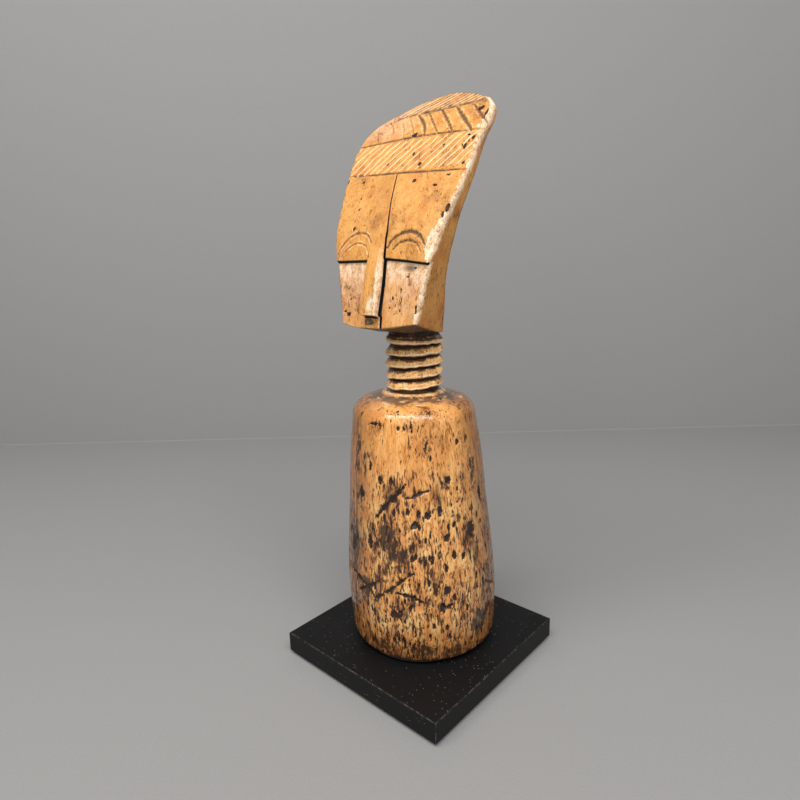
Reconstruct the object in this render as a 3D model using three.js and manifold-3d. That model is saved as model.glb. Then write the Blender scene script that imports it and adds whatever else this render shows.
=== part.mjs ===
// A carved wooden doll with a long flat head, a ringed neck and a barrel body, held on a square
// black display plate by a short steel post. Millimetres, +Z up, the doll looks towards -Y.
// The origin is on the surface that the pads stand on, under the middle of the plate.
import * as THREE from "three";
import { mergeVertices } from "three/addons/utils/BufferGeometryUtils.js";
import Module from "manifold-3d";

const wasm = await Module();
wasm.setup();

// Gaps between separate pieces
const seatGap = 0.3; // under and over what rests on something
const postClearance = 0.4; // round the post, in each hole it goes through

// Pads and plate
const padRadius = 6;
const padThickness = 1.5;
const padInset = 13; // from the plate's edge to a pad's middle
const plateSide = 120;
const plateThickness = 13.3;
const plateEdge = 0.6; // worn bevel on the arrises
const recessClearance = 2; // round the washer, in the counterbore under the plate
const recessSpare = 0.4; // from the stud's end to the plate's underside

// Post, washer and nut
const postRadius = 4;
const postHeight = 42; // above its shoulder on the plate
const postTaper = 1.2;
const studRadius = 3;
const studSpare = 1.2; // stud beyond the nut
const washerRadius = 9;
const washerThickness = 1.6;
const nutAcrossFlats = 10;
const nutHeight = 4.2;

// Felt ring between the plate and the foot of the doll
const feltInset = 8; // from the edge of the doll's foot
const feltThickness = 1.6;

// Doll: the foot is a little off the post, and the face a little off the plate's side
const footX = -1.3;
const footY = 4.5;
const leanX = -2.8; // how far the axis has moved where the shoulder starts
const leanY = -2.6;
const faceTurn = THREE.MathUtils.degToRad(6);
const bodyHeight = 140; // up to the start of the shoulder
const footRadius = 44.8;
const footRound = 3;
const bellyRadius = 45.9;
const bellyHeight = 25;
const waistRadius = 41.5;
const waistHeight = 94;
const topRadius = 36.5;
const shoulderRound = 10.5; // height of the rounding
const shoulderReach = 12.4; // how far it comes in
const shoulderRise = 4.4; // from the rounding up to the neck
const neckRadius = 14.7; // in the grooves
const ringRadius = 16.9;
const ringCount = 5;
const ringPitch = 6.4;
const ringCrest = 2.4; // width of the flat on a ring
const ringTilts = [3, 4, 3, 2.5, -1.5]; // degrees, from the lowest up
const ringTiltDirection = THREE.MathUtils.degToRad(42);
const neckHeight = 33.6;
const boreSpare = 6; // drilled deeper than the post reaches

// Head, from the chin to the top of the crown. Each station is a point of the front face (back
// from the neck's axis, up from the neck's top, and aside where the crown leans), with the half width
// there, the thickness along the side edge and the thickness in the middle.
const headStations = [
  { aside: 0, back: -33.6, up: 4.7, half: 24.6, edge: 28, middle: 50 },
  { aside: 0, back: -31.6, up: 19.5, half: 27, edge: 24, middle: 45.5 },
  { aside: 0, back: -29.2, up: 37.5, half: 30.4, edge: 18.8, middle: 38 },
  { aside: 0, back: -25.2, up: 52.5, half: 33.6, edge: 15.4, middle: 31.5 },
  { aside: 0, back: -15.8, up: 69, half: 37, edge: 10.5, middle: 26 },
  { aside: -0.3, back: -5, up: 85.5, half: 39.8, edge: 7.8, middle: 21 },
  { aside: -0.2, back: 8.5, up: 105, half: 40.5, edge: 6.2, middle: 15 },
  { aside: 1.7, back: 17.5, up: 114.5, half: 39.2, edge: 5, middle: 12 },
  { aside: 4.1, back: 22, up: 119.1, half: 36, edge: 4.4, middle: 10 },
  { aside: 6.3, back: 25.7, up: 122.9, half: 29.4, edge: 4, middle: 8.5 },
  { aside: 6.9, back: 29.2, up: 126.7, half: 20.4, edge: 3.4, middle: 7 },
  { aside: 8, back: 31.8, up: 129.5, half: 10, edge: 3, middle: 5 },
];
const headSteps = 3; // sections between two stations
const arrisWidth = 1;
const arrisDepth = 1.9;
const backFacets = 12;

// Face
const eyeLine = 40.1; // height of the ledge over the eyes, from the neck's top
const eyeDroop = 2.4; // how much lower the left eye's ledge ends
const cheekDepth = 1.9; // step back under the ledge
const cheekFade = 0.4; // what is left of the step at the chin
const noseLeft = 2.6; // from the middle line
const noseRight = -8.5;
const noseRoot = 49.5;
const noseTip = 11.3;
const noseHeight = 5;
const crackDepth = 13;
const crackWidth = 2;
const crackPath = [ // sideways, up, share of the full width
  [-4.4, 85, 0.2],
  [-1.8, 70.5, 0.3],
  [2.2, 55.3, 0.6],
  [3.4, 39.5, 1],
  [3.4, 1.5, 1],
];

const plateBottom = padThickness + seatGap;
const plateTop = plateBottom + plateThickness;
const dollBottom = plateTop + feltThickness + 2 * seatGap;
const neckBottom = bodyHeight + shoulderRound + shoulderRise;
const neckTop = neckBottom + neckHeight;
const postTop = plateTop + seatGap + postHeight;
const feltRadius = footRadius - feltInset;
const recessRadius = washerRadius + recessClearance;
const recessDepth = washerThickness + nutHeight + studSpare + 2 * seatGap + recessSpare;
const washerBottom = plateBottom + recessDepth - seatGap - washerThickness;
const nutBottom = washerBottom - seatGap - nutHeight;
const roundFacets = 56;
const smallFacets = 36;

const finishes = {
  oldWood: new THREE.MeshStandardMaterial({ color: 0xb5763a, roughness: 0.5, metalness: 0 }),
  blackPaint: new THREE.MeshStandardMaterial({ color: 0x1b1b1c, roughness: 0.45, metalness: 0 }),
  steel: new THREE.MeshStandardMaterial({ color: 0xa5a7a9, roughness: 0.35, metalness: 1 }),
  felt: new THREE.MeshStandardMaterial({ color: 0x26262a, roughness: 0.95, metalness: 0 }),
};

function toSolid(geometry) {
  const bare = geometry.clone();
  bare.deleteAttribute("normal");
  bare.deleteAttribute("uv");
  const merged = mergeVertices(bare, 1e-4);
  return new wasm.Manifold(
    new wasm.Mesh({
      numProp: 3,
      vertProperties: merged.attributes.position.array,
      triVerts: new Uint32Array(merged.index.array),
    }),
  );
}

function toGeometry(solid) {
  const { vertProperties, triVerts } = solid.getMesh();
  const geometry = new THREE.BufferGeometry();
  geometry.setAttribute("position", new THREE.BufferAttribute(vertProperties, 3));
  geometry.setIndex(new THREE.BufferAttribute(triVerts, 1));
  geometry.computeVertexNormals();
  return geometry;
}

// A closed skin over sections that all have the same number of points, listed from below up.
// Seen from above, each section runs anticlockwise.
function loft(sections) {
  const count = sections[0].length;
  const middle = (section) =>
    section.reduce((sum, point) => sum.add(point), new THREE.Vector3()).divideScalar(count);
  const points = [middle(sections[0]), ...sections.flat(), middle(sections.at(-1))];
  const last = points.length - 1;
  const faces = [];
  for (let i = 0; i < count; i++) {
    const next = (i + 1) % count;
    faces.push(0, 1 + next, 1 + i);
    for (let row = 0; row < sections.length - 1; row++) {
      const low = 1 + row * count;
      const high = low + count;
      faces.push(low + i, low + next, high + next, low + i, high + next, high + i);
    }
    faces.push(last, last - count + i, last - count + next);
  }
  const geometry = new THREE.BufferGeometry().setFromPoints(points);
  geometry.setIndex(faces);
  return geometry;
}

function turned(profile, facets) {
  const outline = profile.map(([radius, height]) => new THREE.Vector2(radius, height));
  return new THREE.LatheGeometry(outline, facets).rotateX(Math.PI / 2);
}

function disc(radius, bottom, thickness, facets = smallFacets) {
  const top = bottom + thickness;
  return turned([[0, bottom], [radius, bottom], [radius, top], [0, top]], facets);
}

function ring(outer, inner, bottom, thickness, facets = smallFacets) {
  const hole = disc(inner, bottom - 1, thickness + 2, facets);
  return toGeometry(toSolid(disc(outer, bottom, thickness, facets)).subtract(toSolid(hole)));
}

// Middle of the body's section at a height above the foot: it leans as far as the shoulder.
function axisAt(height) {
  const share = Math.min(height / bodyHeight, 1);
  return new THREE.Vector2(footX + leanX * share, footY + leanY * share);
}

function roundSection(height, radius, tilt = 0) {
  const axis = axisAt(height);
  return Array.from({ length: roundFacets }, (_, i) => {
    const angle = (i / roundFacets) * 2 * Math.PI;
    const lift = Math.tan(tilt) * radius * Math.cos(angle - ringTiltDirection);
    return new THREE.Vector3(
      axis.x + radius * Math.cos(angle),
      axis.y + radius * Math.sin(angle),
      dollBottom + height + lift,
    );
  });
}

function bodySolid() {
  const sides = new THREE.CatmullRomCurve3(
    [
      [footRadius, footRound],
      [bellyRadius, bellyHeight],
      [waistRadius, waistHeight],
      [topRadius, bodyHeight],
    ].map(([radius, height]) => new THREE.Vector3(radius, height, 0)),
  ).getPoints(15);
  const sections = [roundSection(0, footRadius - footRound)];
  for (const share of [0.35, 0.7])
    sections.push(
      roundSection(
        footRound * (1 - Math.cos(share * Math.PI / 2)),
        footRadius - footRound * (1 - Math.sin(share * Math.PI / 2)),
      ),
    );
  for (const side of sides) sections.push(roundSection(side.y, side.x));
  for (const share of [0.25, 0.5, 0.75, 1]) {
    const angle = share * Math.PI / 2;
    const radius = topRadius - shoulderReach * (1 - Math.cos(angle));
    sections.push(roundSection(bodyHeight + shoulderRound * Math.sin(angle), radius));
  }
  sections.push(roundSection(neckBottom, neckRadius));
  sections.push(roundSection(neckBottom + ringPitch / 2, neckRadius - 1));
  return toSolid(loft(sections));
}

function neckSolid() {
  const tilt = (i) =>
    THREE.MathUtils.degToRad(ringTilts[THREE.MathUtils.clamp(i, 0, ringCount - 1)]);
  const sections = [roundSection(neckBottom - 4, neckRadius)];
  for (let i = 0; i < ringCount; i++) {
    const low = neckBottom + 1 + i * ringPitch;
    const slope = (ringPitch - ringCrest) / 2;
    sections.push(roundSection(low, neckRadius, (tilt(i - 1) + tilt(i)) / 2));
    sections.push(roundSection(low + slope, ringRadius, tilt(i)));
    sections.push(roundSection(low + slope + ringCrest, ringRadius, tilt(i)));
  }
  sections.push(roundSection(neckTop, neckRadius));
  return toSolid(loft(sections));
}

const headFront = new THREE.CatmullRomCurve3(
  headStations.map(({ aside, back, up }) => new THREE.Vector3(aside, back, up)),
);
const headSizes = new THREE.CatmullRomCurve3(
  headStations.map(({ half, edge, middle }) => new THREE.Vector3(half, edge, middle)),
);

// How far back the front face is at a height, read off its middle line.
const frontPoints = headFront.getPoints(200);
function frontBack(up) {
  const above = frontPoints.find((point) => point.z >= up) ?? frontPoints.at(-1);
  return above.y;
}

// A point given sideways, back and up in the head's own frame, put where the head is.
function inHead(sideways, back, up) {
  const axis = axisAt(bodyHeight);
  return new THREE.Vector3(sideways, back, up)
    .applyAxisAngle(new THREE.Vector3(0, 0, 1), faceTurn)
    .add(new THREE.Vector3(axis.x, axis.y, dollBottom + neckTop));
}

function headSection(share) {
  const front = headFront.getPoint(share);
  const along = headFront.getTangent(share);
  const { x: half, y: edge, z: middle } = headSizes.getPoint(share);
  const outline = [
    [-half, arrisDepth],
    [-half + arrisWidth, 0],
    [half - arrisWidth, 0],
    [half, arrisDepth],
  ];
  for (let i = 0; i <= backFacets; i++) {
    const sideways = half * Math.cos((i / backFacets) * Math.PI);
    const bulge = (middle - edge) * (1 - (sideways / half) ** 2);
    outline.push([sideways, Math.max(edge, arrisDepth + 0.3) + bulge]);
  }
  return outline.map(([sideways, deep]) =>
    inHead(front.x + sideways, front.y + deep * along.z, front.z - deep * along.y),
  );
}

function headSolid() {
  const steps = (headStations.length - 1) * headSteps;
  const sections = Array.from({ length: steps + 1 }, (_, i) => headSection(i / steps));
  return toSolid(loft(sections));
}

// A block in front of the cheek on one side, from under the chin up to the ledge over the eye.
function cheekCut(inner, outer, droop) {
  const levels = [-8, eyeLine - 34, eyeLine - 17, eyeLine];
  return toSolid(
    loft(
      levels.map((up) => {
        const share = Math.max(0, 1 - (eyeLine - up) / 35);
        const depth = cheekFade + (cheekDepth - cheekFade) * share;
        const back = frontBack(up) + depth;
        const drop = up === eyeLine ? droop : 0;
        const corners = [
          [Math.min(inner, outer), back - 20],
          [Math.max(inner, outer), back - 20],
          [Math.max(inner, outer), back],
          [Math.min(inner, outer), back],
        ];
        return corners.map(([sideways, y]) =>
          inHead(sideways, y, up - (sideways === outer ? drop : 0)),
        );
      }),
    ),
  );
}

function noseSolid() {
  const levels = [
    { up: noseTip, height: noseHeight, narrow: 0.6 },
    { up: (noseTip + noseRoot) / 2, height: noseHeight * 0.62, narrow: 1.6 },
    { up: noseRoot, height: 0.05, narrow: 2.4 },
  ];
  return toSolid(
    loft(
      levels.map(({ up, height, narrow }) => {
        const front = frontBack(up);
        return [
          [noseRight + narrow * 0.3, front - height],
          [noseLeft - narrow, front - height],
          [noseLeft, front + 4],
          [noseRight, front + 4],
        ].map(([sideways, back]) => inHead(sideways, back, up));
      }),
    ),
  );
}

function crackCut() {
  const sections = crackPath.toReversed().map(([sideways, up, share]) => {
    const half = (crackWidth * share) / 2;
    const front = frontBack(up);
    return [
      [sideways - half, front - 12],
      [sideways + half, front - 12],
      [sideways + half * 0.5, front + crackDepth * Math.max(share, 0.4)],
      [sideways - half * 0.5, front + crackDepth * Math.max(share, 0.4)],
    ].map(([x, back]) => inHead(x, back, up));
  });
  return toSolid(loft(sections));
}

function doll() {
  const boreDepth = postTop + boreSpare - dollBottom;
  const bore = disc(postRadius + postClearance, dollBottom - 1, boreDepth + 1);
  const head = headSolid()
    .subtract(cheekCut(noseRight, -60, 0))
    .subtract(cheekCut(noseLeft, 60, eyeDroop * 2))
    .add(noseSolid());
  return toGeometry(
    bodySolid().add(neckSolid()).add(head).subtract(crackCut()).subtract(toSolid(bore)),
  );
}

function displayPlate() {
  const half = plateSide / 2;
  const square = (size, height) =>
    [[-size, -size], [size, -size], [size, size], [-size, size]].map(
      ([x, y]) => new THREE.Vector3(x, y, height),
    );
  const slab = loft([
    square(half - plateEdge, plateBottom),
    square(half, plateBottom + plateEdge),
    square(half, plateTop - plateEdge),
    square(half - plateEdge, plateTop),
  ]);
  const stepped = turned(
    [
      [0, plateBottom - 1],
      [recessRadius, plateBottom - 1],
      [recessRadius, plateBottom + recessDepth],
      [studRadius + postClearance, plateBottom + recessDepth],
      [studRadius + postClearance, plateTop + 1],
      [0, plateTop + 1],
    ],
    smallFacets,
  );
  return toGeometry(toSolid(slab).subtract(toSolid(stepped)));
}

function supportPost() {
  const shoulder = plateTop + seatGap;
  const studEnd = nutBottom - studSpare;
  return turned(
    [
      [0, studEnd],
      [studRadius - 0.5, studEnd],
      [studRadius, studEnd + 0.5],
      [studRadius, shoulder],
      [postRadius, shoulder],
      [postRadius, postTop - postTaper],
      [postRadius - postTaper, postTop],
      [0, postTop],
    ],
    smallFacets,
  );
}

function postNut() {
  const cornerRadius = nutAcrossFlats / 2 / Math.cos(Math.PI / 6);
  const chamfer = 0.5;
  const blank = turned(
    [
      [0, nutBottom],
      [cornerRadius - chamfer * 1.7, nutBottom],
      [cornerRadius + 0.1, nutBottom + chamfer],
      [cornerRadius + 0.1, nutBottom + nutHeight - chamfer],
      [cornerRadius - chamfer * 1.7, nutBottom + nutHeight],
      [0, nutBottom + nutHeight],
    ],
    smallFacets,
  );
  const hexagon = disc(cornerRadius, nutBottom - 1, nutHeight + 2, 6);
  const hole = disc(studRadius + postClearance, nutBottom - 1, nutHeight + 2);
  return toGeometry(
    toSolid(blank).intersect(toSolid(hexagon)).subtract(toSolid(hole)),
  );
}

const assembly = new THREE.Group();

function addPiece(name, geometry, finish) {
  const mesh = new THREE.Mesh(geometry, finish);
  mesh.name = name;
  assembly.add(mesh);
  return mesh;
}

addPiece("doll", doll(), finishes.oldWood);
addPiece("display_plate", displayPlate(), finishes.blackPaint);
addPiece("support_post", supportPost(), finishes.steel);
addPiece(
  "post_washer",
  ring(washerRadius, studRadius + postClearance, washerBottom, washerThickness),
  finishes.steel,
);
addPiece("post_nut", postNut(), finishes.steel);
addPiece(
  "felt_ring",
  ring(feltRadius, postRadius + postClearance, plateTop + seatGap, feltThickness, roundFacets),
  finishes.felt,
);
const padReach = plateSide / 2 - padInset;
[[-1, -1], [1, -1], [1, 1], [-1, 1]].forEach(([x, y], i) => {
  const pad = addPiece(`pad_${i + 1}`, disc(padRadius, 0, padThickness), finishes.felt);
  pad.position.set(x * padReach, y * padReach, 0);
});

export default assembly;
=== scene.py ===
# A carved wooden doll with a long flat head, a ringed neck and a barrel body, on a black display
# plate. Metres, +Z up; the doll looks towards -Y. Sizes in the dictionaries are millimetres.
import math
import bpy
import numpy as np
from mathutils import Matrix, Vector


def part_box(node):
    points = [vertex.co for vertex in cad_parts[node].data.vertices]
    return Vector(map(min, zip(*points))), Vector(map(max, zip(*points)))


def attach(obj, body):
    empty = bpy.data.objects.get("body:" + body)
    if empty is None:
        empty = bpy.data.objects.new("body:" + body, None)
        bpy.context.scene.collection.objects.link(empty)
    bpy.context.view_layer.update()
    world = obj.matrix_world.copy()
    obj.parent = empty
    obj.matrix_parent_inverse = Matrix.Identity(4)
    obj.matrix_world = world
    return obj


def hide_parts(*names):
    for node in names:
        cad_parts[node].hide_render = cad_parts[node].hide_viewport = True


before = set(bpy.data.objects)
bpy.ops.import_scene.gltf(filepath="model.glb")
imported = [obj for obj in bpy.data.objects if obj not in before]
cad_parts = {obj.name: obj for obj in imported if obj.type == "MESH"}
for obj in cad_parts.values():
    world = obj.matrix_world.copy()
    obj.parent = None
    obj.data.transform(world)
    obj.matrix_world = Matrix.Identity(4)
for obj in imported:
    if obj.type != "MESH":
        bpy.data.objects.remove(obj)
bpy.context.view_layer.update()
scene = bpy.context.scene
mm = 0.001
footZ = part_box("doll")[0].z / mm  # underside of the doll's foot
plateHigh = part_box("display_plate")[1]
print("frame loaded, foot at", round(footZ, 2))


def toLinear(hexColour):
    parts = [int(hexColour[i:i + 2], 16) / 255 for i in (1, 3, 5)]
    return [c / 12.92 if c <= 0.04045 else ((c + 0.055) / 1.055) ** 2.4 for c in parts] + [1]


# Fills a node's inputs, named or counted among those it shows, from values, sockets or nodes
def fill(tree, node, inputs):
    shown = [socket for socket in node.inputs if socket.enabled]
    for key, value in inputs.items():
        socket = shown[key] if isinstance(key, int) else next(s for s in shown if s.name == key)
        if isinstance(value, bpy.types.Node):
            value = next(s for s in value.outputs if s.enabled)
        if isinstance(value, bpy.types.NodeSocket):
            tree.links.new(value, socket)
        else:
            socket.default_value = value


# Adds a node. Its kind may be followed by an operation; inputs come in order or in a dictionary
def add(tree, kind, *inputs, **settings):
    kind, *operation = kind.split()
    family = next(f for f in ("ShaderNode", "GeometryNode", "") if hasattr(bpy.types, f + kind))
    node = tree.nodes.new(family + kind)
    if operation:
        node.operation = operation[0]
    for name, value in settings.items():
        setattr(node, name, value)
    given = {}
    for i, value in enumerate(inputs):
        given.update(value if isinstance(value, dict) else {i: value})
    fill(tree, node, given)
    return node


# Camera and light
view = {
    "location": (224.0, -261.6, 249.2),
    "azimuth": 42.22,
    "elevation": 13.67,
    "roll": -1.46,
    "lens": 27.05,
    "sensor": 36,
}


# Direction from the middle towards a viewer, in degrees round from the front and up
def outward(azimuth, elevation):
    a, e = math.radians(azimuth), math.radians(elevation)
    return Vector((math.sin(a) * math.cos(e), -math.cos(a) * math.cos(e), math.sin(e)))


def placeCamera():
    back = outward(view["azimuth"], view["elevation"])
    roll = math.radians(view["roll"])
    level = Vector((-back.y, back.x, 0)).normalized()
    upright = back.cross(level)
    right = level * math.cos(roll) + upright * math.sin(roll)
    up = upright * math.cos(roll) - level * math.sin(roll)
    camera = bpy.data.objects.new("camera", bpy.data.cameras.new("camera"))
    scene.collection.objects.link(camera)
    turn = Matrix((right, up, back)).transposed()
    camera.matrix_world = Matrix.Translation(Vector(view["location"]) * mm) @ turn.to_4x4()
    camera.data.lens = view["lens"]
    camera.data.sensor_width = view["sensor"]
    camera.data.clip_start = 0.02
    camera.data.clip_end = 50
    scene.camera = camera


lamps = {
    # name: place from the middle of the doll (azimuth, elevation, distance m), width and height m,
    # watts, colour
    "overheadBox": ((30, 60, 1.15), (1.7, 0.6), 11.5, "#fffaf3"),
    "shoulderStrip": ((25, 60, 1.1), (1.6, 0.25), 8, "#fffaf3"),
    "frontBox": ((28, 20, 1.5), (0.9, 0.9), 5.2, "#fff8ef"),
    "sideFill": ((100, 18, 1.5), (0.8, 0.8), 2.2, "#f3f7ff"),
    "backFill": ((225, 40, 1.6), (0.9, 0.9), 2.2, "#f6f8ff"),
}
studio = {"colour": "#e9ebec", "strength": 0.22}


def placeLights():
    middle = Vector((0, 0, 0.17))
    for name, ((azimuth, elevation, distance), size, watts, colour) in lamps.items():
        away = outward(azimuth, elevation)
        data = bpy.data.lights.new(name, "AREA")
        data.shape = "RECTANGLE"
        data.size, data.size_y = size
        data.energy = watts
        data.color = toLinear(colour)[:3]
        lamp = bpy.data.objects.new(name, data)
        scene.collection.objects.link(lamp)
        lamp.location = middle + away * distance
        lamp.rotation_mode = "QUATERNION"
        lamp.rotation_quaternion = (-away).to_track_quat("-Z", "Y")
    scene.world = bpy.data.worlds.new("studio")
    scene.world.use_nodes = True
    sky = scene.world.node_tree.nodes["Background"].inputs
    sky["Color"].default_value = toLinear(studio["colour"])
    sky["Strength"].default_value = studio["strength"]
    scene.view_settings.view_transform = "Standard"


def startMaterial(name):
    material = bpy.data.materials.new(name)
    material.use_nodes = True
    tree = material.node_tree
    return material, tree, tree.nodes["Principled BSDF"], add(tree, "TexCoord").outputs["Object"]


# Floor: pale grey paper with a wall of it behind
floorSizes = {"front": 1.4, "flat": 0.47, "fold": 0.001, "wall": 1.6, "half": 3.2, "turn": 42.22}


def makeFloor():
    s = floorSizes
    line = [(-s["front"], 0), (s["flat"], 0)]
    for k in range(1, 13):
        a = k / 12 * math.pi / 2
        line.append((s["flat"] + s["fold"] * math.sin(a), s["fold"] * (1 - math.cos(a))))
    line.append((s["flat"] + s["fold"], s["wall"]))
    turn = Matrix.Rotation(math.radians(s["turn"]), 3, "Z")
    sides = (-s["half"], s["half"])
    points = [turn @ Vector((side, along, height)) for along, height in line for side in sides]
    faces = [(k, k + 1, k + 3, k + 2) for k in range(0, 2 * len(line) - 2, 2)]
    mesh = bpy.data.meshes.new("floor")
    mesh.from_pydata(points, [], faces)
    # studio background paper: dull, faintly fibrous
    paper, tree, shader, place = startMaterial("backgroundPaper")
    fibre = add(tree, "TexNoise", {"Vector": place, "Scale": 900, "Detail": 3})
    tint = add(tree, "Mix", {"Factor": fibre, "A": toLinear("#8f9092"), "B": toLinear("#9c9d9e")},
               data_type="RGBA")
    fill(tree, shader, {"Base Color": tint, "Roughness": 0.85})
    mesh.materials.append(paper)
    floor = bpy.data.objects.new("floor", mesh)
    scene.collection.objects.link(floor)


placeCamera()
placeLights()
makeFloor()
print("camera, light and floor placed")


# Materials
# Hand-carved light hardwood with an old waxed and handled surface. The mesh says where it is worn,
# stained, pitted or blushed by rubbing, where patina and painted shade darken it, and where painted
# shadow blackens its cracks, gaps and ledges; the rest is grain along Z.
# Widths and lengths of the grain are millimetres.
headWood = {
    # the patina brown also paints shade, the stain colour also paints shade under the head, and the
    # darkest colour is painted shadow in cracks, gaps and under ledges
    "light": "#e2aa63", "middle": "#d6994f", "dark": "#b27a3c",
    "russet": "#bf6a30", "honey": "#f6cd8b", "patinaAndShadeColour": "#8a5529", "blush": "#ebbb98",
    "halo": "#96602f", "pore": "#3a2012", "stainAndShade": "#4b3d36", "dirt": "#57463c", "recessShadow": "#150d08",
    "worn": ("#9a7650", "#dcb88d", "#f8e0c6"), "line": "#f2d3a6",
    "grain": (0.55, 7), "streak": (3.2, 60),
    # width and length of the pores, how much of the surface they take, how dark
    "pores": [((0.7, 1.8), 0.14, 0.5), ((1.5, 4.5), 0.1, 0.6)],
    "russets": 0.45, "honeys": 0.35, "patinas": 0.35,
    "roughness": 0.46, "gloss": 0.3, "coat": 0.15, "coatRoughness": 0.3, "relief": 0.05, "calm": 1.0,
}
neckWood = dict(
    headWood, light="#ffd79a", middle="#f5bc70", dark="#bd7d40", stainAndShade="#45302a",
    recessShadow="#341a0c", worn=("#d09a58", "#fadaa8", "#fff0d0"), patinas=0.35, roughness=0.36, coat=0.5,
    coatRoughness=0.25,
)
bodyWood = dict(
    headWood, light="#f8ba74", middle="#e8a55c", dark="#b9773a", russet="#b8662c",
    honey="#f6d796", patinaAndShadeColour="#875529", halo="#855430", pore="#2c190e", stainAndShade="#3a281a",
    worn=("#6a4526", "#c79a63", "#f2d6a8"),
    grain=(0.6, 5.5), streak=(2.4, 26),
    pores=[((0.7, 3.2), 0.055, 0.75), ((1.3, 6.0), 0.08, 0.9), ((2.4, 8.0), 0.065, 0.95)],
    russets=0.4, honeys=0.85, patinas=0.65, roughness=0.42, gloss=0.15, coat=0.9,
    coatRoughness=0.15, relief=0.07, calm=0.12,
)
# Wide noises shared by the three woods: width, length, detail, seed
clouds = {
    "cloud": (14, 24, 4, 13), "drift": (9, 15, 4, 43), "smudge": (2.6, 4.2, 4, 31),
    "fine": (0.7, 1.1, 3, 57),
}
# Marks painted over the grain in this order: colour, how much the coarse and the fine noise tear
# the edge, where the mark starts and where it is full, the most it covers
tornEdges = {
    # stains, with painted shade under the head
    "stainAndShade": ("stainAndShade", 1.1, 0.6, 0.42, 0.62, 0.92),
    "wear": ("worn", 0.5, 0.35, 0.2, 0.62, 0.95),
    "dirt": ("dirt", 0.3, 0.3, 0.25, 0.6, 0.85),
    "line": ("line", 0.2, 0.25, 0.3, 0.8, 0.85),
    "pit": ("pore", 0.8, 0.7, 0.38, 0.56, 1),
    # painted shadow: near black in the crack, between the neck's rings and under the ledges and the
    # nose
    "recessShadow": ("recessShadow", 0.25, 0.35, 0.3, 0.6, 1),
}


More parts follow.
